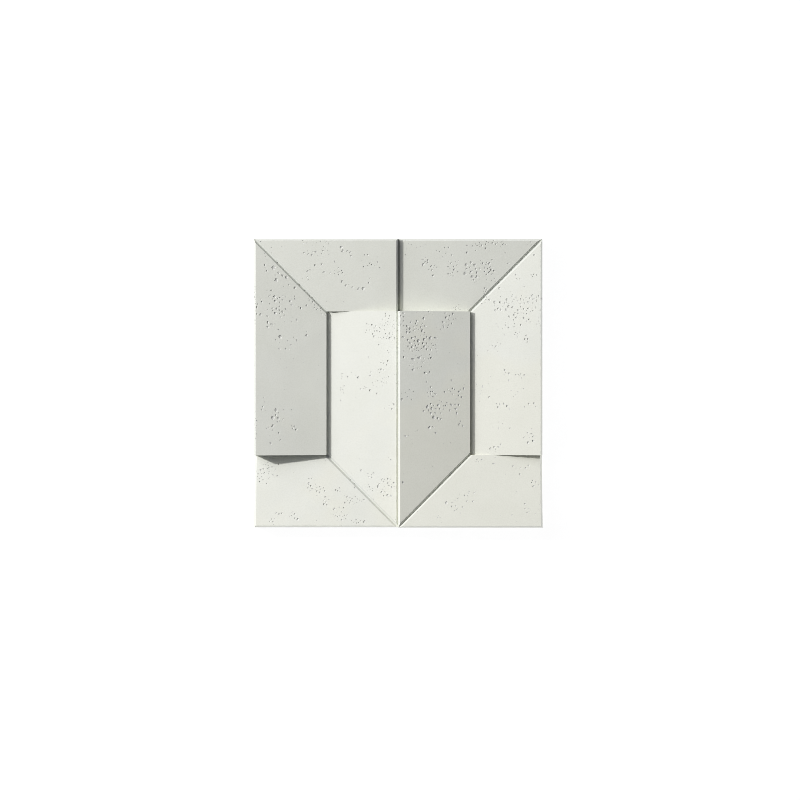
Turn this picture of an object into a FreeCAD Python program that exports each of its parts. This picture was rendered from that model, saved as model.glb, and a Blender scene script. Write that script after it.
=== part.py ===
"""Relief wall panel: one square of cast concrete whose face is eight mitred, wedge-shaped strips.

The strips are all one width and the panel is four of them square. Each strip slopes like a
moulding, from a high long edge down to a low short one. They meet in pairs at 45 degree mitres,
so the face reads as four interlocking L shapes, two of them standing one step above the others.
Chamfers along the mitres, the high edges and the joints between strip ends make V-grooves, also
between this panel and its neighbours on the wall. The low edges are left sharp.

Frame, in millimetres: the flat back lies on z = 0 with its centre at the origin, +Z comes out of
the face, +Y is up the wall and +X is to the right of someone who faces it.
"""
import FreeCAD
import Part
import Sketcher
import os
from typing import NamedTuple

SIZES = [
    ("strip_width", 150.0, "width of a strip, a quarter of the panel's side"),
    ("rise", 30.0, "how far a strip climbs from its low edge to its high edge"),
    ("level_step", 10.0, "height of the raised strips above the others"),
    ("base_thickness", 12.0, "concrete behind the lowest edges"),
    ("joint_chamfer", 4.0, "chamfer on each side of a V-groove and round the border"),
]

LEFT = 1
RIGHT = -1


class Strip(NamedTuple):
    """One strip, described from the corner where its high edge meets the mitre.

    The corner is in strip widths from the panel's centre. From it the high edge runs along the
    heading, in degrees from +X, for a length in strip widths, and the strip falls to that side
    of the heading which fall_side gives. A strip whose end is jointed has a chamfer there; the
    others butt against the low edge of a neighbour.
    """

    name: str
    corner: tuple[int, int]
    heading: int
    fall_side: int
    length: int
    raised: bool
    end_jointed: bool


STRIPS = [
    Strip("left", (-2, 2), 270, LEFT, 3, True, False),
    Strip("top_left", (-2, 2), 0, RIGHT, 2, True, True),
    Strip("right", (2, 2), 270, RIGHT, 3, False, False),
    Strip("top_right", (2, 2), 180, LEFT, 2, False, True),
    Strip("centre_left", (0, -2), 90, LEFT, 3, False, False),
    Strip("bottom_left", (0, -2), 180, RIGHT, 2, False, True),
    Strip("centre_right", (0, -2), 90, RIGHT, 3, True, False),
    Strip("bottom_right", (0, -2), 0, LEFT, 2, True, True),
]


def add_sizes(doc):
    """Put the driving dimensions in a sheet, one to a row, with the value's name as its alias."""
    sheet = doc.addObject("Spreadsheet::Sheet", "sizes")
    for row, (name, value, meaning) in enumerate(SIZES, start=1):
        sheet.set(f"A{row}", meaning)
        sheet.set(f"B{row}", str(value))
        sheet.setAlias(f"B{row}", name)
    doc.recompute()
    return sheet


def add_outline(body, name, plane_role, corners):
    """Add a sketch of a closed outline whose first corner is pinned to the body's origin."""
    sketch = body.newObject("Sketcher::SketchObject", name)
    plane = next(feature for feature in body.Origin.OriginFeatures if feature.Role == plane_role)
    sketch.AttachmentSupport = [(plane, "")]
    sketch.MapMode = "FlatFace"
    points = [FreeCAD.Vector(across, up, 0) for across, up in corners]
    for start, end in zip(points, points[1:] + points[:1]):
        sketch.addGeometry(Part.LineSegment(start, end), False)
    for line in range(len(points)):
        following = (line + 1) % len(points)
        sketch.addConstraint(Sketcher.Constraint("Coincident", line, 2, following, 1))
    sketch.addConstraint(Sketcher.Constraint("Coincident", 0, 1, -1, 1))
    return sketch


def set_length(sketch, line, name, start_value, expression):
    """Hold a line of a sketch to a length worked out from the sheet."""
    index = sketch.addConstraint(Sketcher.Constraint("Distance", line, start_value))
    sketch.renameConstraint(index, name)
    sketch.setExpression(f"Constraints.{name}", expression)


def add_profile(body, strip, sheet):
    """Sketch the strip's cross-section: upright at the high and low edges, sloping between."""
    low_height = "sizes.base_thickness"
    low = sheet.base_thickness
    if strip.raised:
        low_height += " + sizes.level_step"
        low += sheet.level_step
    high = low + sheet.rise
    low_edge = strip.fall_side * sheet.strip_width
    corners = [(0, 0), (low_edge, 0), (low_edge, low), (0, high)]
    sketch = add_outline(body, f"{strip.name}_profile", "YZ_Plane", corners)
    back, low_side, slope, high_side = range(4)
    sketch.addConstraint(Sketcher.Constraint("Horizontal", back))
    sketch.addConstraint(Sketcher.Constraint("Vertical", low_side))
    sketch.addConstraint(Sketcher.Constraint("Vertical", high_side))
    set_length(sketch, back, "width", sheet.strip_width, "sizes.strip_width")
    set_length(sketch, low_side, "low_height", low, low_height)
    set_length(sketch, high_side, "high_height", high, f"{low_height} + sizes.rise")
    return sketch


def add_mitre_outline(body, strip, sheet):
    """Sketch the triangle, in plan, that the mitre takes off the strip's first end."""
    low_edge = strip.fall_side * sheet.strip_width
    corners = [(0, 0), (0, low_edge), (sheet.strip_width, low_edge)]
    sketch = add_outline(body, f"{strip.name}_mitre_outline", "XY_Plane", corners)
    end, low_side, mitre = range(3)
    sketch.addConstraint(Sketcher.Constraint("Vertical", end))
    sketch.addConstraint(Sketcher.Constraint("Horizontal", low_side))
    set_length(sketch, end, "across", sheet.strip_width, "sizes.strip_width")
    set_length(sketch, low_side, "along", sheet.strip_width, "sizes.strip_width")
    return sketch


def jointed_edges(shape, strip):
    """Name the edges of the sloping face that take a chamfer: all but the low one and a butted end."""
    slope = max(shape.Faces, key=lambda face: face.CenterOfMass.z)
    low_edge = max(slope.Edges, key=lambda edge: abs(edge.CenterOfMass.y))
    square_end = max(slope.Edges, key=lambda edge: edge.CenterOfMass.x)
    sharp = [low_edge] if strip.end_jointed else [low_edge, square_end]
    chamfered = [edge for edge in slope.Edges if not any(edge.isSame(other) for other in sharp)]
    names = []
    for index, edge in enumerate(shape.Edges, start=1):
        if any(edge.isSame(other) for other in chamfered):
            names.append(f"Edge{index}")
    return names


def add_strip(doc, strip, sheet):
    """Model a strip as a moulding is made: run the profile, saw the mitre, ease the edges."""
    body = doc.addObject("PartDesign::Body", f"{strip.name}_strip")
    run = body.newObject("PartDesign::Pad", f"{strip.name}_run")
    run.Profile = add_profile(body, strip, sheet)
    run.setExpression("Length", f"{strip.length} * sizes.strip_width")
    doc.recompute()

    mitre = body.newObject("PartDesign::Pocket", f"{strip.name}_mitre")
    mitre.Profile = add_mitre_outline(body, strip, sheet)
    mitre.Type = "ThroughAll"
    mitre.Reversed = True
    doc.recompute()
    if mitre.Shape.Volume >= run.Shape.Volume:
        raise RuntimeError(f"the mitre of {strip.name} cuts nothing")

    easing = body.newObject("PartDesign::Chamfer", f"{strip.name}_chamfer")
    easing.Base = (mitre, jointed_edges(mitre.Shape, strip))
    easing.setExpression("Size", "sizes.joint_chamfer")

    body.Placement = FreeCAD.Placement(
        FreeCAD.Vector(), FreeCAD.Rotation(FreeCAD.Vector(0, 0, 1), strip.heading)
    )
    for axis, strips_off in zip("xy", strip.corner):
        body.setExpression(f"Placement.Base.{axis}", f"{strips_off} * sizes.strip_width")
    doc.recompute()
    return body


def add_panel(doc, strips):
    """Pour the strips as one casting."""
    panel = doc.addObject("Part::MultiFuse", "concrete_panel")
    panel.Label = "concrete_panel"
    panel.Shapes = strips
    panel.Refine = True
    doc.recompute()
    return panel


def check(doc, panel):
    """Stop unless every object is sound and the panel is one valid solid."""
    for item in doc.Objects:
        if {"Invalid", "Error"} & set(item.State):
            raise RuntimeError(f"{item.Label} failed: {item.State}")
    if panel.Shape.isNull() or not panel.Shape.isValid():
        raise RuntimeError("the panel's shape isn't valid")
    if len(panel.Shape.Solids) != 1:
        raise RuntimeError(f"the panel is {len(panel.Shape.Solids)} solids, not one")


def main():
    """Model the panel and write it to parts/."""
    doc = FreeCAD.newDocument("relief_wall_panel")
    sheet = add_sizes(doc)
    strips = [add_strip(doc, strip, sheet) for strip in STRIPS]
    panel = add_panel(doc, strips)
    check(doc, panel)
    os.makedirs("parts", exist_ok=True)
    panel.Shape.Solids[0].exportStep(f"parts/{panel.Label}.step")
    size = panel.Shape.BoundBox
    litres = panel.Shape.Volume / 1e6
    print(f"{panel.Label}: {size.XLength:.1f} x {size.YLength:.1f} x {size.ZLength:.1f} mm, {litres:.3f} litres")


main()
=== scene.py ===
"""Studio scene of a relief wall panel: one square of pale cast concrete that lies on its back.

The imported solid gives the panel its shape. This file adds what casting and handling leave on a real
panel: rubbed arrises, air pores, cloudy cement paste and a matt face. Sizes are written down in
millimetres and angles in degrees. The scene itself is in metres.
"""

from __future__ import annotations

import logging
import math
import random
from collections.abc import Callable, Iterator
from dataclasses import dataclass
from enum import Enum

import bmesh
import bpy
from mathutils import Matrix, Vector, noise
from mathutils.bvhtree import BVHTree


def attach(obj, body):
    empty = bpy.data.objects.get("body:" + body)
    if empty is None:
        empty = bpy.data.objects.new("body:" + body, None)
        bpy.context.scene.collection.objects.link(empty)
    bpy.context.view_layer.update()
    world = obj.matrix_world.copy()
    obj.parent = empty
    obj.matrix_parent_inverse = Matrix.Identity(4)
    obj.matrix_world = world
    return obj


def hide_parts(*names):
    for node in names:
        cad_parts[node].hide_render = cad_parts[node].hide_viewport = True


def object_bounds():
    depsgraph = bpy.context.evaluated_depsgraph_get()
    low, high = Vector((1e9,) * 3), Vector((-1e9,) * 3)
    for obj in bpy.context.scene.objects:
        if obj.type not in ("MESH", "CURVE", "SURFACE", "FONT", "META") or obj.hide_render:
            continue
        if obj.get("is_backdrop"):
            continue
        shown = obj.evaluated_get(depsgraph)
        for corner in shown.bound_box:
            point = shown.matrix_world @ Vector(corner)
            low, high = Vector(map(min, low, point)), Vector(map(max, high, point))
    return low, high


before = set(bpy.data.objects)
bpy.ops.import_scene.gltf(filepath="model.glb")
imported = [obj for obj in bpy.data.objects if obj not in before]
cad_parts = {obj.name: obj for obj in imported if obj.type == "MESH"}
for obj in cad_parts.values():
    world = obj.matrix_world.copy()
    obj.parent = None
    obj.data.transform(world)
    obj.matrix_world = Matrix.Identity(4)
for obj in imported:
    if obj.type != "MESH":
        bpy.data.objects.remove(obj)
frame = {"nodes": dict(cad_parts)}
cad_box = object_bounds()

MM = 0.001
# Points closer together than this become one.
WELD = 0.001 * MM
# Standard deviation of a patch's pores, as a share of its reach.
PATCH_SPREAD = 0.55
# Metres from the panel's middle at which rays towards its skin start, and metres that they reach.
RAY_START = 0.5
RAY_REACH = 1.0
# Each bubble takes its lumps from its own place in a block of noise with this side.
NOISE_SIDE = 100
CAST_SLOT = 0
PORE_SLOT = 1
WHITE = "FFFFFF"
PICTURE_PIXELS = 800
log = logging.getLogger("relief_wall_panel")


def linear(hex_code: str) -> tuple[float, float, float, float]:
    """Turn an sRGB colour into the linear values that shaders take.

    Args:
        hex_code: Six hex digits, red first.

    Returns:
        Red, green and blue from 0 to 1, and an alpha of 1.
    """
    shares = [int(hex_code[start : start + 2], 16) / 255 for start in (0, 2, 4)]
    red, green, blue = (
        share / 12.92 if share <= 0.04045 else ((share + 0.055) / 1.055) ** 2.4 for share in shares
    )
    return red, green, blue, 1.0


def texture_scale(feature: float) -> float:
    """Give the scale at which a texture's features are this many millimetres across."""
    return 1 / (feature * MM)


def add_node(
    tree: bpy.types.NodeTree,
    kind: str,
    settings: dict[str, object] | None = None,
    links: dict[str | int, bpy.types.NodeSocket] | None = None,
) -> bpy.types.Node:
    """Add a node to a material, set it up and link its inputs.

    Args:
        tree: The material's node tree.
        kind: Blender's name for the kind of node.
        settings: Values of unlinked inputs, and properties of the node, by name.
        links: Outputs of earlier nodes, by the input that each one feeds.

    Returns:
        The new node.
    """
    node = tree.nodes.new(kind)
    for name, value in (settings or {}).items():
        if name in node.inputs:
            node.inputs[name].default_value = value
        else:
            setattr(node, name, value)
    for name, output in (links or {}).items():
        tree.links.new(output, node.inputs[name])
    return node


def start_material(name: str) -> tuple[bpy.types.Material, bpy.types.NodeTree]:
    """Start a material without any nodes.

    Args:
        name: The material's name.

    Returns:
        The material and its empty node tree.
    """
    material = bpy.data.materials.new(name)
    material.use_nodes = True
    material.node_tree.nodes.clear()
    return material, material.node_tree


def set_ramp(node: bpy.types.Node, stops: list[tuple[float, str]]) -> None:
    """Give a colour ramp its stops.

    Args:
        node: The ramp.
        stops: Place from 0 to 1 and sRGB hex colour of each stop, in order.
    """
    elements = node.color_ramp.elements
    while len(elements) < len(stops):
        elements.new(1.0)
    for element, (place, hex_code) in zip(elements, stops):
        element.position = place
        element.color = linear(hex_code)


def toward(bearing: float, height: float) -> Vector:
    """Give the direction of a lamp.

    Args:
        bearing: Degrees from the panel's left towards its top.
        height: Degrees above the floor.

    Returns:
        A vector of length one, from the panel to the lamp.
    """
    across, up = math.radians(bearing), math.radians(height)
    return Vector((-math.cos(across) * math.cos(up), math.sin(across) * math.cos(up), math.sin(up)))


class Side(Enum):
    """A side of the casting that was against the mould, with the direction that it faces."""

    FACE = (0, 0, 1)
    LEFT = (-1, 0, 0)
    RIGHT = (1, 0, 0)
    TOP = (0, 1, 0)
    BOTTOM = (0, -1, 0)


class PoreForm(Enum):
    """How a bubble set: its width and its curl as shares of its length, and how many in ten set so."""

    ROUND = (0.9, 0.0, 4)
    DRAWN_OUT = (0.55, 0.0, 4)
    CURLED = (0.5, 0.4, 2)


@dataclass(frozen=True)
class PorePatch:
    """A patch where air gathered against the mould, or a single pore.

    Attributes:
        place: Its middle: across and up for the face, along the edge and above the floor elsewhere.
        longest: Length of its first pore, which is its longest one.
        count: How many pores it has.
        reach: How far most of it goes each way from its middle.
        turn: Degrees that the patch is turned in its own plane.
        side: The side of the casting that it is on.
    """

    place: tuple[float, float]
    longest: float
    count: int = 1
    reach: tuple[float, float] = (0.5, 0.5)
    turn: float = 0.0
    side: Side = Side.FACE

    def spots(self, dice: random.Random) -> Iterator[tuple[float, float]]:
        """Draw places in the patch for ever, close together in its middle and thinner further out.

        Args:
            dice: The source of chance.

        Yields:
            The two coordinates of a place on the side, in millimetres.
        """
        turn = math.radians(self.turn)
        while True:
            across = dice.gauss(0, PATCH_SPREAD * self.reach[0])
            up = dice.gauss(0, PATCH_SPREAD * self.reach[1])
            yield (
                self.place[0] + across * math.cos(turn) - up * math.sin(turn),
                self.place[1] + across * math.sin(turn) + up * math.cos(turn),
            )


# Air was trapped against the mould at chance spots, so these patches are listed one by one.
TOP_LEFT_STRIP = (
    PorePatch((-176, 271), 5.4, 7, (14, 5)),
    PorePatch((-107, 273), 6.8, 5, (9, 6)),
    PorePatch((-132, 252), 5.4),
    PorePatch((-167, 243), 5.1, 3, (12, 4)),
    PorePatch((-184, 233), 5.1, 2, (6, 3)),
    PorePatch((-154, 231), 7.1),
    PorePatch((-142, 230), 5.1),
    PorePatch((-123, 232), 5.6, 7, (8, 6)),
    PorePatch((-115, 211), 6.8, 2, (6, 2)),
    PorePatch((-106, 203), 5.4, 3, (7, 3)),
    PorePatch((-79, 198), 8.0, 3, (6, 3)),
    PorePatch((-62, 248), 4.2, 10, (26, 20)),
    PorePatch((-43, 252), 5.6),
    PorePatch((-64, 216), 4.8, 2, (4, 7)),
    PorePatch((-200, 288), 3.8, 13, (90, 9)),
    PorePatch((-190, 218), 3.6, 3, (8, 10)),
    PorePatch((-150, 275), 4.2, 7, (24, 16)),
)
LEFT_STRIP = (
    PorePatch((-255, 160), 4.1, 9, (36, 42)),
    PorePatch((-262, -85), 4.0, 4, (30, 36)),
    PorePatch((-277, 265), 5.4, 2, (4, 5)),
    PorePatch((-259, 240), 8.2),
    PorePatch((-276, 238), 4.4, 4, (4, 9)),
    PorePatch((-251, 226), 8.0, 3, (4, 8)),
    PorePatch((-236, 220), 7.0, 2, (4, 6)),
    PorePatch((-216, 201), 5.9, 4, (10, 5)),
    PorePatch((-241, 172), 6.3, 10, (16, 9)),
    PorePatch((-218, 173), 6.3, 2, (4, 9)),
    PorePatch((-246, 149), 6.5, 6, (12, 7)),
    PorePatch((-266, 155), 5.6, 4, (7, 8)),
    PorePatch((-272, 138), 5.6),
    PorePatch((-270, 123), 7.0, 4, (9, 7)),
    PorePatch((-232, 136), 4.4, 4, (14, 7)),
    PorePatch((-211, 132), 6.5),
    PorePatch((-249, 111), 5.6),
    PorePatch((-245, 97), 7.8),
    PorePatch((-254, 90), 5.2),
    PorePatch((-217, 89), 5.4, 4, (12, 9)),
    PorePatch((-191, 99), 5.4),
    PorePatch((-200, 158), 4.7, 3, (8, 6)),
    PorePatch((-258, 70), 5.4, 3, (30, 6)),
    PorePatch((-272, 185), 4.2, 4, (14, 12)),
    PorePatch((-257, -66), 8.0, 4, (10, 8)),
    PorePatch((-262, -80), 7.5),
    PorePatch((-248, -76), 4.7, 4, (9, 6)),
    PorePatch((-266, -92), 7.0, 4, (6, 5)),
    PorePatch((-217, -92), 5.2, 4, (7, 5)),
    PorePatch((-265, -126), 6.7),
    PorePatch((-258, -115), 3.9, 4, (16, 16)),
    PorePatch((-283, -45), 3.9, 4, (8, 22)),
)
TOP_RIGHT_STRIP = (
    PorePatch((54, 254), 6.1, 6, (8, 6)),
    PorePatch((72, 240), 5.0, 6, (10, 8)),
    PorePatch((73, 224), 4.5),
    PorePatch((105, 282), 5.9),
    PorePatch((95, 272), 4.5, 6, (14, 10)),
    PorePatch((144, 286), 5.7),
    PorePatch((143, 272), 5.2),
    PorePatch((35, 277), 3.3, 10, (25, 18)),
    PorePatch((118, 240), 5.0, 12, (12, 12)),
    PorePatch((110, 225), 5.2, 3, (4, 4)),
    PorePatch((151, 238), 8.2, 14, (14, 11)),
    PorePatch((168, 289), 5.0, 12, (16, 8)),
    PorePatch((182, 278), 6.8),
    PorePatch((183, 245), 5.7, 14, (14, 14)),
    PorePatch((194, 237), 7.0, 3, (4, 4)),
    PorePatch((207, 291), 5.2, 9, (11, 6)),
    PorePatch((229, 250), 5.9),
    PorePatch((223, 272), 4.1),
    PorePatch((200, 212), 5.0, 6, (12, 6)),
    PorePatch((180, 195), 4.7, 5, (4, 5)),
    PorePatch((160, 217), 3.3, 6, (8, 7)),
    PorePatch((272, 290), 5.0, 3, (6, 4)),
    PorePatch((122, 157), 4.7, 6, (9, 4)),
)
RIGHT_STRIP = (
    PorePatch((283, 266), 5.3),
    PorePatch((245, 226), 5.0),
    PorePatch((249, 216), 4.3, 2, (6, 2)),
    PorePatch((283, 228), 4.3, 4, (7, 6)),
    PorePatch((262, 201), 4.3),
    PorePatch((211, 198), 5.7),
    PorePatch((187, 172), 5.7, 5, (8, 8)),
    PorePatch((212, 160), 6.2, 10, (16, 10)),
    PorePatch((231, 170), 6.4, 7, (12, 12)),
    PorePatch((252, 173), 5.9, 7, (10, 7)),
    PorePatch((282, 174), 6.4, 11, (14, 8)),
    PorePatch((272, 153), 5.3, 14, (24, 8)),
    PorePatch((248, 136), 5.3, 11, (20, 14)),
    PorePatch((270, 130), 5.7, 2, (6, 3)),
    PorePatch((289, 128), 4.3, 4, (6, 8)),
    PorePatch((222, 118), 4.3, 6, (14, 7)),
    PorePatch((250, 104), 4.8, 5, (10, 7)),
    PorePatch((221, 101), 4.6),
    PorePatch((265, 91), 4.8, 4, (5, 4)),
    PorePatch((203, 79), 3.9, 10, (13, 8)),
    PorePatch((226, 20), 5.7, 5, (7, 8)),
    PorePatch((260, 15), 4.3, 6, (12, 9)),
    PorePatch((176, -7), 5.9),
    PorePatch((182, -20), 4.3, 6, (14, 24)),
    PorePatch((214, -45), 5.3, 5, (12, 6)),
    PorePatch((245, -20), 3.7, 6, (14, 14)),
    PorePatch((233, -54), 4.6, 2, (8, 4)),
    PorePatch((270, -45), 4.6, 4, (16, 6)),
    PorePatch((218, -90), 3.9, 5, (20, 10)),
    PorePatch((272, -115), 5.9, 8, (9, 14)),
    PorePatch((206, -134), 5.9, 5, (8, 5)),
)
CENTRE_LEFT_STRIP = (
    PorePatch((-52, 116), 4.9, 12, (18, 9)),
    PorePatch((-28, 124), 4.2, 10, (12, 14)),
    PorePatch((-50, 98), 4.8, 3, (12, 5)),
    PorePatch((-15, 101), 5.5, 6, (6, 5)),
    PorePatch((-30, 100), 3.6, 5, (10, 8)),
    PorePatch((-40, 80), 4.2),
    PorePatch((-19, 63), 4.2),
    PorePatch((-62, 54), 4.9),
    PorePatch((-29, 42), 5.0, 5, (6, 8)),
    PorePatch((-32, 28), 4.8, 3, (6, 4)),
    PorePatch((-60, 21), 5.5, 3, (4, 4)),
    PorePatch((-86, 15), 5.3, 2, (3, 5)),
    PorePatch((-112, 14), 4.2, 3, (8, 8)),
    PorePatch((-30, 6), 3.6, 9, (16, 10)),
    PorePatch((-72, -10), 4.4, 5, (12, 3)),
    PorePatch((-58, -15), 5.3),
    PorePatch((-44, -22), 4.4),
    PorePatch((-114, -14), 4.2, 8, (12, 18)),
    PorePatch((-50, -2), 3.6, 5, (16, 8)),
    PorePatch((-15, -52), 4.0, 3, (8, 12)),
    PorePatch((-17, -157), 3.6, 2, (5, 4)),
    PorePatch((-77, -182), 4.9),
    PorePatch((-60, -193), 5.0, 5, (7, 5)),
    PorePatch((-75, -218), 5.0),
    PorePatch((-58, -218), 3.6, 7, (8, 12)),
    PorePatch((-41, -213), 5.5, 2, (3, 4)),
    PorePatch((-20, -206), 4.8, 13, (12, 9)),
    PorePatch((-32, -224), 5.0, 5, (6, 4)),
    PorePatch((-24, -234), 5.3, 5, (8, 2)),
    PorePatch((-14, -230), 5.3),
)
CENTRE_RIGHT_STRIP = (
    PorePatch((8, 140), 6.3, 4, (5, 4)),
    PorePatch((8, 124), 5.8, 7, (6, 8)),
    PorePatch((18, 106), 6.1),
    PorePatch((10, 95), 7.8),
    PorePatch((53, 135), 5.5),
    PorePatch((58, 142), 4.2, 3, (10, 4)),
    PorePatch((34, 120), 6.1, 10, (10, 10)),
    PorePatch((48, 117), 6.1, 6, (8, 7)),
    PorePatch((28, 111), 4.8, 4, (8, 5)),
    PorePatch((53, 101), 4.6, 3, (5, 3)),
    PorePatch((49, 90), 7.8, 6, (8, 3)),
    PorePatch((68, 93), 8.4, 4, (8, 3)),
    PorePatch((84, 93), 4.8),
    PorePatch((24, 80), 7.1, 4, (5, 6)),
    PorePatch((36, 85), 5.8, 8, (9, 8)),
    PorePatch((53, 82), 6.1, 3, (6, 4)),
    PorePatch((38, 72), 5.2, 8, (12, 5)),
    PorePatch((54, 72), 8.0, 4, (7, 5)),
    PorePatch((70, 78), 4.8, 9, (10, 12)),
    PorePatch((12, 54), 5.0),
    PorePatch((32, 49), 8.6),
    PorePatch((44, 52), 7.1),
    PorePatch((46, 50), 4.2, 8, (10, 9)),
    PorePatch((66, 54), 5.2, 3, (4, 5)),
    PorePatch((42, 42), 5.0),
    PorePatch((31, 28), 5.5),
    PorePatch((35, 30), 3.9, 7, (20, 9)),
    PorePatch((57, 22), 5.8, 3, (7, 3)),
    PorePatch((59, 2), 5.5),
    PorePatch((102, 143), 6.1, 3, (14, 3)),
    PorePatch((100, 128), 6.1, 10, (11, 10)),
    PorePatch((95, 119), 7.3),
    PorePatch((111, 6), 5.8),
    PorePatch((8, -34), 6.1),
    PorePatch((19, -29), 6.1),
    PorePatch((28, -20), 3.7, 4, (12, 12)),
    PorePatch((72, -20), 5.8, 9, (10, 9)),
    PorePatch((76, -27), 5.8),
    PorePatch((110, -16), 5.0, 6, (10, 5)),
    PorePatch((127, -20), 5.0, 6, (9, 12)),
    PorePatch((137, -11), 5.8),
    PorePatch((131, -30), 5.8),
    PorePatch((61, -56), 7.8, 7, (8, 6)),
    PorePatch((80, -47), 6.3, 6, (8, 6)),
    PorePatch((98, -43), 5.5, 4, (9, 6)),
    PorePatch((115, -47), 7.3, 7, (9, 7)),
    PorePatch((121, -57), 7.8, 3, (3, 4)),
    PorePatch((106, -59), 7.1),
    PorePatch((88, -58), 3.9, 3, (8, 5)),
    PorePatch((74, -71), 8.1),
    PorePatch((83, -75), 5.0, 3, (8, 3)),
    PorePatch((68, -91), 6.1, 2, (3, 4)),
    PorePatch((78, -103), 5.8),
    PorePatch((133, -87), 5.8, 3, (4, 5)),
    PorePatch((22, -110), 6.3, 2, (9, 3)),
    PorePatch((9, -204), 5.0, 2, (4, 2)),
)
BOTTOM_LEFT_STRIP = (
    PorePatch((-276, -182), 5.6, 20, (18, 14)),
    PorePatch((-289, -196), 4.1, 6, (6, 6)),
    PorePatch((-278, -169), 4.7),
    PorePatch((-184, -215), 6.5, 9, (5, 12)),
    PorePatch((-165, -222), 4.5, 10, (7, 10)),
    PorePatch((-151, -242), 5.4, 6, (5, 8)),
    PorePatch((-122, -226), 4.1, 5, (8, 6)),
    PorePatch((-106, -237), 5.1),
    PorePatch((-90, -243), 4.5, 14, (16, 7)),
    PorePatch((-110, -249), 4.5),
    PorePatch((-133, -262), 5.1),
    PorePatch((-116, -275), 4.3, 14, (14, 12)),
    PorePatch((-84, -289), 5.8, 9, (10, 4)),
    PorePatch((-247, -270), 5.4, 5, (5, 3)),
    PorePatch((-217, -276), 4.5, 5, (6, 6)),
    PorePatch((-211, -283), 5.8, 3, (4, 1)),
    PorePatch((-262, -288), 3.9, 5, (6, 6)),
)
BOTTOM_RIGHT_STRIP = (
    PorePatch((166, -161), 4.8, 4, (5, 2)),
    PorePatch((199, -168), 5.8),
    PorePatch((202, -156), 3.7),
    PorePatch((239, -173), 5.4),
    PorePatch((262, -180), 4.2, 5, (22, 10)),
    PorePatch((285, -210), 6.1, 7, (8, 5)),
    PorePatch((150, -228), 3.5, 6, (12, 7)),
    PorePatch((100, -249), 6.3),
    PorePatch((127, -245), 3.9, 7, (18, 18)),
    PorePatch((155, -246), 4.8),
    PorePatch((122, -262), 4.2, 5, (10, 6)),
    PorePatch((85, -274), 3.7, 5, (26, 6)),
    PorePatch((264, -251), 5.4),
    PorePatch((270, -262), 3.7, 6, (20, 12)),
    PorePatch((236, -274), 4.5),
)
# Pores on the grooves and the border nick their edges.
NICKED_EDGES = (
    PorePatch((-297, 188), 6.0, 5, (1, 9)),
    PorePatch((-295, 158), 5.0, 6, (3, 10)),
    PorePatch((-286, 142), 6.6),
    PorePatch((-297, 128), 4.6, 3, (1, 8)),
    PorePatch((-296, -85), 4.8, 8, (3, 18)),
    PorePatch((-296, -115), 5.6),
    PorePatch((-177, 175), 4.6, 10, (26, 1.5), -45.0),
    PorePatch((-168, 157), 4.8, 14, (20, 4), -45.0),
    PorePatch((-236, 235), 4.0, 5, (50, 1), -45.0),
    PorePatch((-3, 110), 4.0, 5, (1.5, 18)),
    PorePatch((-3, -20), 4.0, 6, (1.5, 32)),
    PorePatch((-9, -44), 4.6),
    PorePatch((-4, -284), 4.0),
    PorePatch((-89, -217), 6.2),
    PorePatch((-94, -207), 4.0, 2, (8, 1), -45.0),
)
# What the mould's sides leave is hardly seen from the front, and is strewn all along them.
OUTER_SIDES = tuple(
    PorePatch((0, 20), 5.0, 30, (520, 14), side=side) for side in Side if side is not Side.FACE
)
# Pinholes are strewn over the whole face.
PINHOLES = (PorePatch((0, 0), 2.4, 130, (700, 700)),)
# Fine pores gather beside the middle ridge, near its upper end.
RIDGE_SIDE = (
    PorePatch((-22, 137), 4.4, 4, (6, 12)),
    PorePatch((-9, 114), 4.4, 5, (5, 12)),
    PorePatch((-16, 94), 4.4, 4, (8, 6)),
)
PORE_PATCHES = (
    TOP_LEFT_STRIP
    + LEFT_STRIP
    + TOP_RIGHT_STRIP
    + RIGHT_STRIP
    + CENTRE_LEFT_STRIP
    + CENTRE_RIGHT_STRIP
    + BOTTOM_LEFT_STRIP
    + BOTTOM_RIGHT_STRIP
    + NICKED_EDGES
    + OUTER_SIDES
    + PINHOLES
    + RIDGE_SIDE
)


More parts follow.
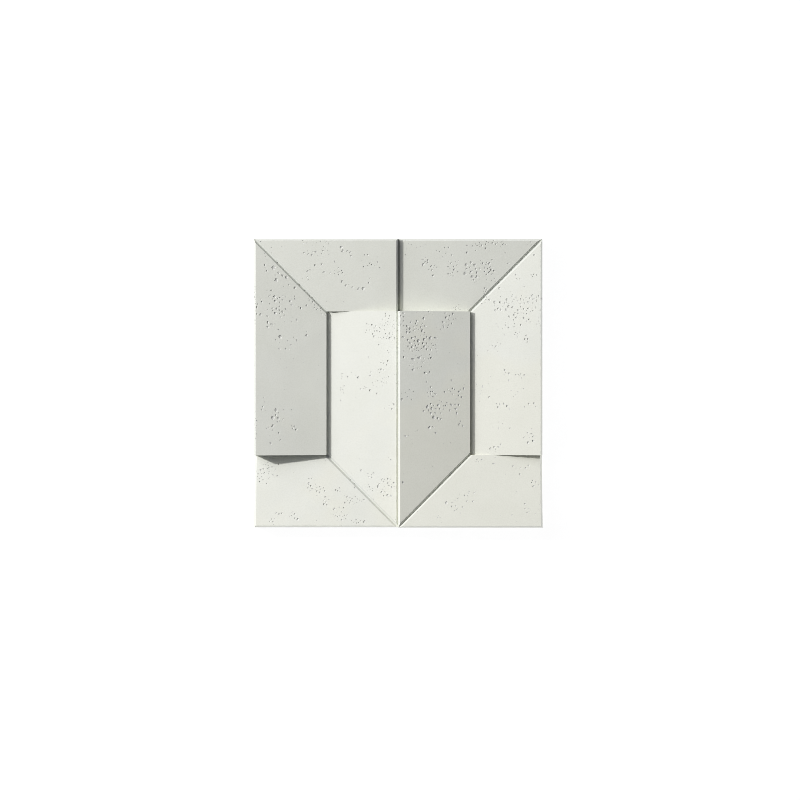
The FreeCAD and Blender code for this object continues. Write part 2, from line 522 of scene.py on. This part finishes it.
@dataclass(frozen=True)
class FairFacedConcrete:
    """Fair-faced concrete, cast against a smooth mould.

    It gives the eye a pale, quite matt grey-white with a hint of green, a touch warmer at the lower
    right. Faint clouds show where the cement paste set unevenly, and a fine grain of sand keeps the
    broad slopes from looking like plastic.

    Attributes:
        name: The material's name.
        greenish: Colour at the upper left.
        paste: Colour in the middle.
        warm: Colour at the lower right.
        cloudy: Factor for the colour in the darkest clouds.
        sandy: Factor for the colour on the darkest grains.
        steep_shade: Factor for the colour of steep faces, which paints shade on chamfers, step walls and
            grooves.
        roughness: Least and greatest roughness.
        ior: Index of refraction.
        cloud: Size of the clouds.
        tint: Size of the clouds that make the turn from one colour to the next uneven.
        warm_bearing: Degrees from across, towards up, along which the paste turns warmer.
        warm_run: Length of the whole turn, of which the ramp takes the middle part.
        grain: Size of the grain.
        grain_height: Height of the grain.
    """

    name: str = "fair_faced_concrete_cast"
    greenish: str = "E1E2D6"
    paste: str = "E1E2D7"
    warm: str = "E2E2D4"
    cloudy: str = "F8F8F7"
    sandy: str = "F7F7F6"
    # Painted shade: steep faces are darkened by this factor.
    steep_shade: str = "F7F8FB"
    roughness: tuple[float, float] = (0.84, 0.94)
    ior: float = 1.5
    cloud: float = 70.0
    tint: float = 120.0
    warm_bearing: float = -59.0
    warm_run: float = 860.0
    grain: float = 2.5
    grain_height: float = 0.05

    def make(self) -> bpy.types.Material:
        """Make the material.

        Returns:
            The material, with its nodes.
        """
        material, tree = start_material(self.name)
        spot = add_node(tree, "ShaderNodeTexCoord")
        place = spot.outputs["Object"]
        tint = add_node(
            tree,
            "ShaderNodeTexNoise",
            {"Scale": texture_scale(self.tint), "Detail": 2.0, "Roughness": 0.45},
            {"Vector": place},
        )
        # The paste turns a touch warmer along one bearing, in uneven clouds.
        drift = add_node(
            tree,
            "ShaderNodeMapping",
            {
                "Rotation": (0.0, 0.0, -math.radians(self.warm_bearing)),
                "Scale": (texture_scale(self.warm_run),) * 3,
            },
            {"Vector": place, "Location": tint.outputs["Color"]},
        )
        warmth = add_node(tree, "ShaderNodeTexGradient", links={"Vector": drift.outputs["Vector"]})
        colour = add_node(tree, "ShaderNodeValToRGB", links={"Fac": warmth.outputs["Fac"]})
        set_ramp(colour, [(0.3, self.greenish), (0.52, self.paste), (0.66, self.warm)])
        # The clouds are broad and weak: a few hundredths of the tone, as on a clean casting.
        cloud = add_node(
            tree,
            "ShaderNodeTexNoise",
            {"Scale": texture_scale(self.cloud), "Detail": 4.0, "Roughness": 0.55},
            {"Vector": place},
        )
        clouds = add_node(tree, "ShaderNodeValToRGB", links={"Fac": cloud.outputs["Fac"]})
        set_ramp(clouds, [(0.25, self.cloudy), (0.75, WHITE)])
        # Sand in such a mix is finer than a millimetre, and is drawn coarser so that it shows.
        grain = add_node(
            tree,
            "ShaderNodeTexNoise",
            {"Scale": texture_scale(self.grain), "Detail": 3.0, "Roughness": 0.6},
            {"Vector": place},
        )
        grains = add_node(tree, "ShaderNodeValToRGB", links={"Fac": grain.outputs["Fac"]})
        set_ramp(grains, [(0.3, self.sandy), (0.6, WHITE)])
        # Steep faces (the chamfers, step walls and grooves) are painted a touch darker and a little cooler:
        # painted shade.
        facing = add_node(tree, "ShaderNodeSeparateXYZ", links={"Vector": spot.outputs["Normal"]})
        steep_shade_ramp = add_node(tree, "ShaderNodeValToRGB", links={"Fac": facing.outputs["Z"]})
        set_ramp(steep_shade_ramp, [(0.75, self.steep_shade), (0.95, WHITE)])
        for layer in (clouds, grains, steep_shade_ramp):
            colour = add_node(
                tree,
                "ShaderNodeMixRGB",
                {"blend_type": "MULTIPLY", "Fac": 1.0},
                {"Color1": colour.outputs["Color"], "Color2": layer.outputs["Color"]},
            )
        rough = add_node(
            tree,
            "ShaderNodeMapRange",
            {"To Min": self.roughness[0], "To Max": self.roughness[1]},
            {"Value": cloud.outputs["Fac"]},
        )
        relief = add_node(
            tree,
            "ShaderNodeBump",
            {"Strength": 0.5, "Distance": self.grain_height * MM},
            {"Height": grain.outputs["Fac"]},
        )
        surface = add_node(
            tree,
            "ShaderNodeBsdfPrincipled",
            {"IOR": self.ior},
            {
                "Base Color": colour.outputs["Color"],
                "Roughness": rough.outputs["Result"],
                "Normal": relief.outputs["Normal"],
            },
        )
        add_node(tree, "ShaderNodeOutputMaterial", links={"Surface": surface.outputs["BSDF"]})
        return material


@dataclass(frozen=True)
class ShadedPoreSkin:
    """The skin of cement inside an air pore, which set without touching the mould.

    It gives the eye a rougher grey than the face, darker with painted shade of the hollow, and mottled with
    some dust.

    Attributes:
        name: The material's name.
        dusty_shaded: Colour where dust lies, darker than the face with painted shade.
        clean: Colour elsewhere, also darker than the face with painted shade.
        roughness: Its roughness.
        ior: Index of refraction.
        mottle: Size of the mottles.
    """

    name: str = "pore_skin_painted_shade"
    # Both colours are darker than the face: painted shade in the pores' hollows.
    dusty_shaded: str = "BEBEB6"
    clean: str = "D6D6CF"
    roughness: float = 0.95
    ior: float = 1.5
    mottle: float = 3.0

    def make(self) -> bpy.types.Material:
        """Make the material.

        Returns:
            The material, with its nodes.
        """
        material, tree = start_material(self.name)
        place = add_node(tree, "ShaderNodeTexCoord").outputs["Object"]
        mottle = add_node(
            tree,
            "ShaderNodeTexNoise",
            {"Scale": texture_scale(self.mottle), "Detail": 2.0},
            {"Vector": place},
        )
        colour = add_node(tree, "ShaderNodeValToRGB", links={"Fac": mottle.outputs["Fac"]})
        set_ramp(colour, [(0.35, self.dusty_shaded), (0.65, self.clean)])
        surface = add_node(
            tree,
            "ShaderNodeBsdfPrincipled",
            {"IOR": self.ior, "Roughness": self.roughness},
            {"Base Color": colour.outputs["Color"]},
        )
        add_node(tree, "ShaderNodeOutputMaterial", links={"Surface": surface.outputs["BSDF"]})
        return material


@dataclass(frozen=True)
class OpalAcrylic:
    """Opal acrylic sheet of a light table, lit from below.

    It gives the eye an even white, on which the panel's shadow is hardly seen.

    Attributes:
        name: The material's name.
        milky: Colour where the sheet is milkiest.
        clear: Colour where it is clearest.
        glow: Strength of the light that comes through.
        roughness: Its roughness.
        cloud: Size of the clouds in it.
    """

    name: str = "opal_acrylic_lit_from_below"
    milky: str = "707070"
    clear: str = "6A6A6A"
    glow: float = 0.92
    roughness: float = 0.7
    cloud: float = 40.0

    def make(self) -> bpy.types.Material:
        """Make the material.

        Returns:
            The material, with its nodes.
        """
        material, tree = start_material(self.name)
        place = add_node(tree, "ShaderNodeTexCoord").outputs["Object"]
        cloud = add_node(
            tree,
            "ShaderNodeTexNoise",
            {"Scale": texture_scale(self.cloud), "Detail": 2.0},
            {"Vector": place},
        )
        colour = add_node(tree, "ShaderNodeValToRGB", links={"Fac": cloud.outputs["Fac"]})
        set_ramp(colour, [(0.4, self.clear), (0.6, self.milky)])
        surface = add_node(
            tree,
            "ShaderNodeBsdfPrincipled",
            {
                "Roughness": self.roughness,
                "Emission Color": (1.0, 1.0, 1.0, 1.0),
                "Emission Strength": self.glow,
            },
            {"Base Color": colour.outputs["Color"]},
        )
        add_node(tree, "ShaderNodeOutputMaterial", links={"Surface": surface.outputs["BSDF"]})
        return material


class Bubbles:
    """A growing set of closed bubbles, each one a reshaped ball."""

    def __init__(self) -> None:
        """Start with none, and with two unit balls to shape them from."""
        self.places: list[tuple[Vector, float]] = []
        self.points: list[Vector] = []
        self.faces: list[list[int]] = []
        self.balls = [self.ball(fineness) for fineness in (2, 3)]

    @staticmethod
    def ball(fineness: int) -> tuple[list[Vector], list[list[int]]]:
        """Make a ball of radius one.

        Args:
            fineness: How many times its faces are divided.

        Returns:
            Its points, and the numbers of the points round each of its faces.
        """
        mesh = bmesh.new()
        bmesh.ops.create_icosphere(mesh, subdivisions=fineness, radius=1.0)
        points = [vertex.co.copy() for vertex in mesh.verts]
        faces = [[vertex.index for vertex in face.verts] for face in mesh.faces]
        mesh.free()
        return points, faces

    def has_room(self, place: Vector, radius: float) -> bool:
        """Tell whether a bubble of this radius would touch no other one here."""
        return all((place - other).length > radius + near for other, near in self.places)

    def add(self, place: Vector, radius: float, fine: bool, shape: Callable[[Vector], Vector]) -> None:
        """Add one bubble.

        Args:
            place: Its middle.
            radius: How far it reaches from there.
            fine: Whether it gets the finer mesh.
            shape: Moves a point of the unit ball to where it belongs.
        """
        points, faces = self.balls[fine]
        first = len(self.points)
        self.places.append((place, radius))
        self.points += [shape(point) for point in points]
        self.faces += [[first + corner for corner in face] for face in faces]

    def make(self, name: str) -> bpy.types.Object:
        """Make one object of all the bubbles.

        Args:
            name: The object's name.

        Returns:
            The object, in the scene.
        """
        mesh = bpy.data.meshes.new(name)
        mesh.from_pydata(self.points, [], self.faces)
        bubbles = bpy.data.objects.new(name, mesh)
        bpy.context.scene.collection.objects.link(bubbles)
        return bubbles


@dataclass(frozen=True)
class AirPores:
    """The air pores of the casting, made as one object of closed bubbles that is cut out of it.

    Attributes:
        patches: Where they are.
        smallest: Length of the smallest pore of a patch, as a share of its longest.
        coarse: Length from which a bubble counts as large, and gets a finer mesh.
        tries: How often a place is drawn for each pore before its patch counts as full.
        room: How far from its middle a bubble keeps others away, as a share of its length.
        fatness: Least and greatest width of a bubble, as shares of its form's width.
        wobble: How far a bubble's skin leaves an even shape, as a share of its radius.
        lumps: How close together the lumps in that skin are.
        depth: Least and greatest depth of a pore, as shares of its width.
        drift: Degrees from across, towards up, along which most pores are drawn out.
        stray: Degrees by which they commonly stray from that.
        seed: Start of the dice.
    """

    patches: tuple[PorePatch, ...]
    smallest: float = 0.56
    coarse: float = 4.2
    tries: int = 12
    room: float = 0.6
    fatness: tuple[float, float] = (0.85, 1.15)
    wobble: float = 0.5
    lumps: float = 1.4
    depth: tuple[float, float] = (0.23, 0.35)
    drift: float = 34.0
    stray: float = 30.0
    seed: int = 7

    def build(self, casting: bpy.types.Object) -> bpy.types.Object:
        """Make the bubbles where they lie in the casting's skin.

        Args:
            casting: The panel before its pores are cut.

        Returns:
            One object of closed bubbles, none of which touches another.
        """
        dice = random.Random(self.seed)
        skin = BVHTree.FromObject(casting, bpy.context.evaluated_depsgraph_get())
        bubbles = Bubbles()
        for patch in self.patches:
            self.fill(patch, skin, bubbles, dice)
        log.info("air pores: %d", len(bubbles.places))
        return bubbles.make("air_pores")

    def fill(self, patch: PorePatch, skin: BVHTree, bubbles: Bubbles, dice: random.Random) -> None:
        """Fill one patch with bubbles, as many as it has room for.

        Args:
            patch: The patch.
            skin: The casting's surface.
            bubbles: The bubbles so far, which are added to.
            dice: The source of chance.
        """
        wanted = len(bubbles.places) + patch.count
        for _, (across, up) in zip(range(self.tries * patch.count), patch.spots(dice)):
            if len(bubbles.places) == wanted:
                return
            start = self.outside(patch.side, across, up)
            place, normal, _, _ = skin.ray_cast(start, -Vector(patch.side.value), RAY_REACH)
            first = len(bubbles.places) == wanted - patch.count
            length = patch.longest * (1.0 if first else dice.uniform(self.smallest, 1.0))
            radius = self.room * length * MM
            if place is not None and bubbles.has_room(place, radius):
                shape = self.uneven(place, normal, length, dice)
                bubbles.add(place, radius, length > self.coarse, shape)

    @staticmethod
    def outside(side: Side, across: float, up: float) -> Vector:
        """Give a point well off a side that faces a place on it.

        Args:
            side: The side of the casting.
            across: First coordinate of the place, in millimetres.
            up: Second coordinate of the place, in millimetres.

        Returns:
            The point, in metres.
        """
        if side is Side.FACE:
            return Vector((across * MM, up * MM, RAY_START))
        if side in (Side.LEFT, Side.RIGHT):
            return Vector((RAY_START * side.value[0], across * MM, up * MM))
        return Vector((across * MM, RAY_START * side.value[1], up * MM))

    def uneven(
        self, place: Vector, normal: Vector, length: float, dice: random.Random
    ) -> Callable[[Vector], Vector]:
        """Draw the shape of one uneven bubble.

        Args:
            place: Its place on the casting's surface, in metres.
            normal: The surface's direction there.
            length: Its longest measure, in millimetres.
            dice: The source of chance.

        Returns:
            A function that moves a point of a unit ball to where it belongs.
        """
        form = dice.choices(list(PoreForm), weights=[form.value[2] for form in PoreForm])[0]
        slim, curl, _ = form.value
        width = length * slim * dice.uniform(*self.fatness)
        # A large bubble is pressed flatter against the mould than a small one.
        deep = width * dice.uniform(*self.depth) * min(1.0, self.coarse / length)
        spin = Matrix.Rotation(math.radians(dice.gauss(self.drift, self.stray)), 4, "Z")
        face = normal.to_track_quat("Z", "Y").to_matrix().to_4x4()
        move = Matrix.Translation(place) @ face @ spin
        own = Vector([dice.uniform(0, NOISE_SIDE) for _ in range(3)])

        def shape(point: Vector) -> Vector:
            """Swell, stretch and bend one point, and put it in its place.

            Args:
                point: A point of the unit ball.

            Returns:
                Where it belongs, in metres.
            """
            swell = 1 + self.wobble * noise.noise(point * self.lumps + own)
            along, across, down = point * swell
            # The mean square of along is about this, so a bent bubble stays over its place.
            bend = curl * (along * along - 0.3)
            return move @ (Vector((along * length, (across + bend) * width, down * 2 * deep)) * 0.5 * MM)

        return shape


@dataclass(frozen=True)
class CastPanel:
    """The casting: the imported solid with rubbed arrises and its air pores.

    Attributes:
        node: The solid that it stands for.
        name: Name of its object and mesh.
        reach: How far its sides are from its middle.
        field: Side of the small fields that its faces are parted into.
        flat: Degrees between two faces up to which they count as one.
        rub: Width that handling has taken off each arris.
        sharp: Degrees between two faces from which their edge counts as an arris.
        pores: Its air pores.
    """

    node: str = "concrete_panel"
    name: str = "cast_panel"
    reach: float = 300.0
    field: float = 12.5
    flat: float = 0.5
    rub: float = 0.6
    sharp: float = 20.0
    pores: AirPores = AirPores(PORE_PATCHES)

    def build(self, nodes: dict[str, bpy.types.Object]) -> bpy.types.Object:
        """Copy the solid, rub its arrises and cut its pores.

        Args:
            nodes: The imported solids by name.

        Returns:
            The finished casting, with its pores' faces in the second material slot.
        """
        casting = self.copy(nodes[self.node])
        cutter = self.pores.build(casting)
        for part, slot in ((casting, CAST_SLOT), (cutter, PORE_SLOT)):
            part.data.materials.append(None)
            part.data.materials.append(None)
            for face in part.data.polygons:
                face.material_index = slot
        self.cut(casting, cutter)
        self.shade(casting)
        return casting

    def copy(self, solid: bpy.types.Object) -> bpy.types.Object:
        """Copy the solid as one closed skin with whole faces, and rub its arrises.

        Args:
            solid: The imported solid.

        Returns:
            A new object in the same place.
        """
        skin = bmesh.new()
        skin.from_mesh(solid.data)
        bmesh.ops.remove_doubles(skin, verts=skin.verts, dist=WELD)
        bmesh.ops.dissolve_limit(
            skin,
            angle_limit=math.radians(self.flat),
            use_dissolve_boundaries=False,
            verts=skin.verts,
            edges=skin.edges,
        )
        sharp = math.radians(self.sharp)
        arrises = [edge for edge in skin.edges if edge.is_manifold and edge.calc_face_angle_signed() > sharp]
        bmesh.ops.bevel(
            skin,
            geom=arrises,
            offset=self.rub * MM,
            offset_type="OFFSET",
            segments=2,
            profile=0.5,
            affect="EDGES",
            clamp_overlap=True,
        )
        self.part(skin)
        broken = sum(not edge.is_manifold for edge in skin.edges)
        log.info("%s: %d arrises rubbed, %d open edges", self.name, len(arrises), broken)
        mesh = bpy.data.meshes.new(self.name)
        skin.to_mesh(mesh)
        skin.free()
        casting = bpy.data.objects.new(self.name, mesh)
        bpy.context.scene.collection.objects.link(casting)
        return casting

    def part(self, skin: bmesh.types.BMesh) -> None:
        """Part the broad faces into small fields, so that no face has many pores cut in it.

        Args:
            skin: The casting's mesh, which is changed.
        """
        lines = int(self.reach / self.field)
        for axis in (Vector((1, 0, 0)), Vector((0, 1, 0))):
            for line in range(-lines, lines):
                bmesh.ops.bisect_plane(
                    skin,
                    geom=skin.verts[:] + skin.edges[:] + skin.faces[:],
                    plane_co=axis * (line + 0.5) * self.field * MM,
                    plane_no=axis,
                    dist=WELD,
                )

    @staticmethod
    def cut(casting: bpy.types.Object, cutter: bpy.types.Object) -> None:
        """Cut the bubbles out of the casting and remove them.

        Args:
            casting: The casting, whose mesh is replaced.
            cutter: The bubbles.
        """
        cutting = casting.modifiers.new("pores", "BOOLEAN")
        cutting.operation = "DIFFERENCE"
        cutting.solver = "MANIFOLD"
        cutting.object = cutter
        depsgraph = bpy.context.evaluated_depsgraph_get()
        pored = bpy.data.meshes.new_from_object(casting.evaluated_get(depsgraph))
        casting.modifiers.clear()
        casting.data = pored
        pored.name = casting.name
        bpy.data.objects.remove(cutter)

    @staticmethod
    def shade(casting: bpy.types.Object) -> None:
        """Shade the cast faces flat and the inside of the pores smooth.

        Args:
            casting: The casting with its pores cut.
        """
        for face in casting.data.polygons:
            face.use_smooth = face.material_index == PORE_SLOT
        pores = sum(face.material_index == PORE_SLOT for face in casting.data.polygons)
        triangles = sum(len(face.vertices) - 2 for face in casting.data.polygons)
        log.info("%s: %d faces in pores, %d triangles in all", casting.name, pores, triangles)

    def dress(self, casting: bpy.types.Object) -> None:
        """Give the casting its finishes, hide the imported solid and hang the casting on the root body.

        Args:
            casting: The finished casting.
        """
        casting.data.materials[CAST_SLOT] = FairFacedConcrete().make()
        casting.data.materials[PORE_SLOT] = ShadedPoreSkin().make()
        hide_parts(self.node)
        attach(casting, "root")


@dataclass(frozen=True)
class Studio:
    """The white floor, a small key lamp at the upper left, a broad fill near it, low lamps and the camera.

    Attributes:
        floor_size: Side of the floor, in metres.
        key_bearing: Degrees of the key from the panel's left towards its top.
        key_height: Degrees of the key above the floor.
        key_distance: Metres from the panel to the key.
        key_strength: Light of the key at the panel.
        key_spread: Degrees that the key covers, seen from the panel.
        fill_bearing: Degrees of the fill from the panel's left towards its top.
        fill_height: Degrees of the fill above the floor.
        fill_spread: Degrees that the fill covers, seen from the panel.
        fill_strength: Light of the fill at the panel.
        room_strength: Light that comes from all round.
        room_colour: Colour of that light, a little cooler than the lamps.
        low_size: Length and height of the low lamps, in metres.
        low_distance: Metres from the panel's edge to its low lamp.
        low_powers: Power of the right and of the bottom low lamp, in watts.
        camera_distance: Metres from the camera to the plane of the raised strips' low edges.
        camera_plane: Height of that plane.
        panel_side: Side of the panel.
        panel_pixels: Side of the panel in the picture.
        panel_middle: Middle of the panel in the picture, in pixels from its top left corner.
        filter_width: Width of the pixel filter, which sets how sharp the edges are.
        tone_steps: Shares of full light at which the picture's tone curve has points.
        contrast: How much that curve deepens the shadows.
        shoulder: How much it holds back the lights.
    """

    floor_size: float = 20.0
    key_bearing: float = 20.0
    key_height: float = 35.0
    key_distance: float = 4.0
    key_strength: float = 2.47
    key_spread: float = 2.5
    fill_bearing: float = 40.0
    fill_height: float = 30.0
    fill_spread: float = 55.0
    fill_strength: float = 1.83
    room_strength: float = 0.15
    room_colour: str = "E9ECFF"
    low_size: tuple[float, float] = (0.9, 0.036)
    low_distance: float = 0.3
    low_powers: tuple[float, float] = (1.65, 1.4)
    camera_distance: float = 4.9
    camera_plane: float = 22.0
    panel_side: float = 600.0
    panel_pixels: float = 287.4
    panel_middle: tuple[float, float] = (398.25, 383.25)
    filter_width: float = 0.8
    tone_steps: tuple[float, ...] = (0.05, 0.12, 0.25, 0.4, 0.55, 0.7, 0.85)
    contrast: float = 1.15
    shoulder: float = 0.8

    def build(self) -> None:
        """Set up the floor, the lights and the camera."""
        self.add_floor()
        self.add_key()
        self.add_fill()
        self.add_low_lamps()
        self.add_room()
        self.add_camera()
        self.set_tones()

    def add_floor(self) -> None:
        """Lay the floor."""
        half = self.floor_size / 2
        corners = [(-half, -half, 0), (half, -half, 0), (half, half, 0), (-half, half, 0)]
        mesh = bpy.data.meshes.new("floor")
        mesh.from_pydata(corners, [], [(0, 1, 2, 3)])
        mesh.materials.append(OpalAcrylic().make())
        floor = bpy.data.objects.new("floor", mesh)
        # Light from the floor would bleach the panel's sides, so their matt surface gets none of it.
        floor.visible_diffuse = False
        bpy.context.scene.collection.objects.link(floor)
        floor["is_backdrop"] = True

    def add_key(self) -> None:
        """Hang the key lamp, whose light falls off a little across the panel."""
        lamp = bpy.data.lights.new("key", "POINT")
        lamp.energy = self.key_strength * 4 * math.pi * self.key_distance**2
        lamp.shadow_soft_size = self.key_distance * math.tan(math.radians(self.key_spread / 2))
        key = bpy.data.objects.new("key", lamp)
        key.location = toward(self.key_bearing, self.key_height) * self.key_distance
        bpy.context.scene.collection.objects.link(key)

    def add_fill(self) -> None:
        """Hang the broad fill."""
        lamp = bpy.data.lights.new("fill", "SUN")
        lamp.energy = self.fill_strength
        lamp.angle = math.radians(self.fill_spread)
        fill = bpy.data.objects.new("fill", lamp)
        fill.rotation_euler = toward(self.fill_bearing, self.fill_height).to_track_quat("Z", "Y").to_euler()
        bpy.context.scene.collection.objects.link(fill)

    def add_low_lamps(self) -> None:
        """Stand a long lamp off each edge that faces away from the key, too low to light the face."""
        off = self.panel_side / 2 * MM + self.low_distance
        lamps = (("right_lamp", Vector((1, 0, 0))), ("bottom_lamp", Vector((0, -1, 0))))
        for (name, way), power in zip(lamps, self.low_powers):
            lamp = bpy.data.lights.new(name, "AREA")
            lamp.shape = "RECTANGLE"
            lamp.size, lamp.size_y = self.low_size
            lamp.energy = power
            low = bpy.data.objects.new(name, lamp)
            low.location = way * off + Vector((0, 0, self.low_size[1] / 2))
            low.rotation_euler = way.to_track_quat("Z", "Y").to_euler()
            low.visible_camera = False
            bpy.context.scene.collection.objects.link(low)

    def add_room(self) -> None:
        """Light the room evenly from all round."""
        world = bpy.data.worlds.new("room")
        world.use_nodes = True
        light = world.node_tree.nodes["Background"]
        light.inputs["Color"].default_value = linear(self.room_colour)
        light.inputs["Strength"].default_value = self.room_strength
        bpy.context.scene.world = world

    def add_camera(self) -> None:
        """Put the camera straight above, where the panel takes up the picture as it should."""
        scene = bpy.context.scene
        pixel = self.panel_side / self.panel_pixels * MM
        middle = PICTURE_PIXELS / 2
        lens = bpy.data.cameras.new("camera")
        lens.lens = lens.sensor_width * self.camera_distance / (PICTURE_PIXELS * pixel)
        camera = bpy.data.objects.new("camera", lens)
        camera.location = (
            (middle - self.panel_middle[0]) * pixel,
            (self.panel_middle[1] - middle) * pixel,
            self.camera_distance + self.camera_plane * MM,
        )
        scene.collection.objects.link(camera)
        scene.camera = camera
        scene.cycles.filter_width = self.filter_width

    def set_tones(self) -> None:
        """Give the picture a mild tone curve with a soft shoulder, as a camera does."""
        view = bpy.context.scene.view_settings
        view.view_transform = "Standard"
        view.use_curve_mapping = True
        # The fourth curve is the one for all colours together.
        curve = view.curve_mapping.curves[3]
        for light in self.tone_steps:
            tone = light**self.contrast
            curve.points.new(light, (1 + self.shoulder) * tone / (1 + self.shoulder * tone))
        view.curve_mapping.update()


def write_sizes() -> None:
    """Measure the dressed panel's box and set it beside the solid's box, without keeping or writing either.
    """
    boxes = {"cad": cad_box, "visual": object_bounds()}
    {name: [list(corner) for corner in box] for name, box in boxes.items()}


def main() -> None:
    """Build the panel and the studio."""
    logging.basicConfig(level=logging.INFO, format="%(name)s: %(message)s")
    panel = CastPanel()
    casting = panel.build(frame["nodes"])
    panel.dress(casting)
    log.info("%s stands for %s", casting.name, panel.node)
    Studio().build()
    log.info("studio: floor, key, fill, low lamps, room and camera")
    write_sizes()


if __name__ == "__main__":
    main()
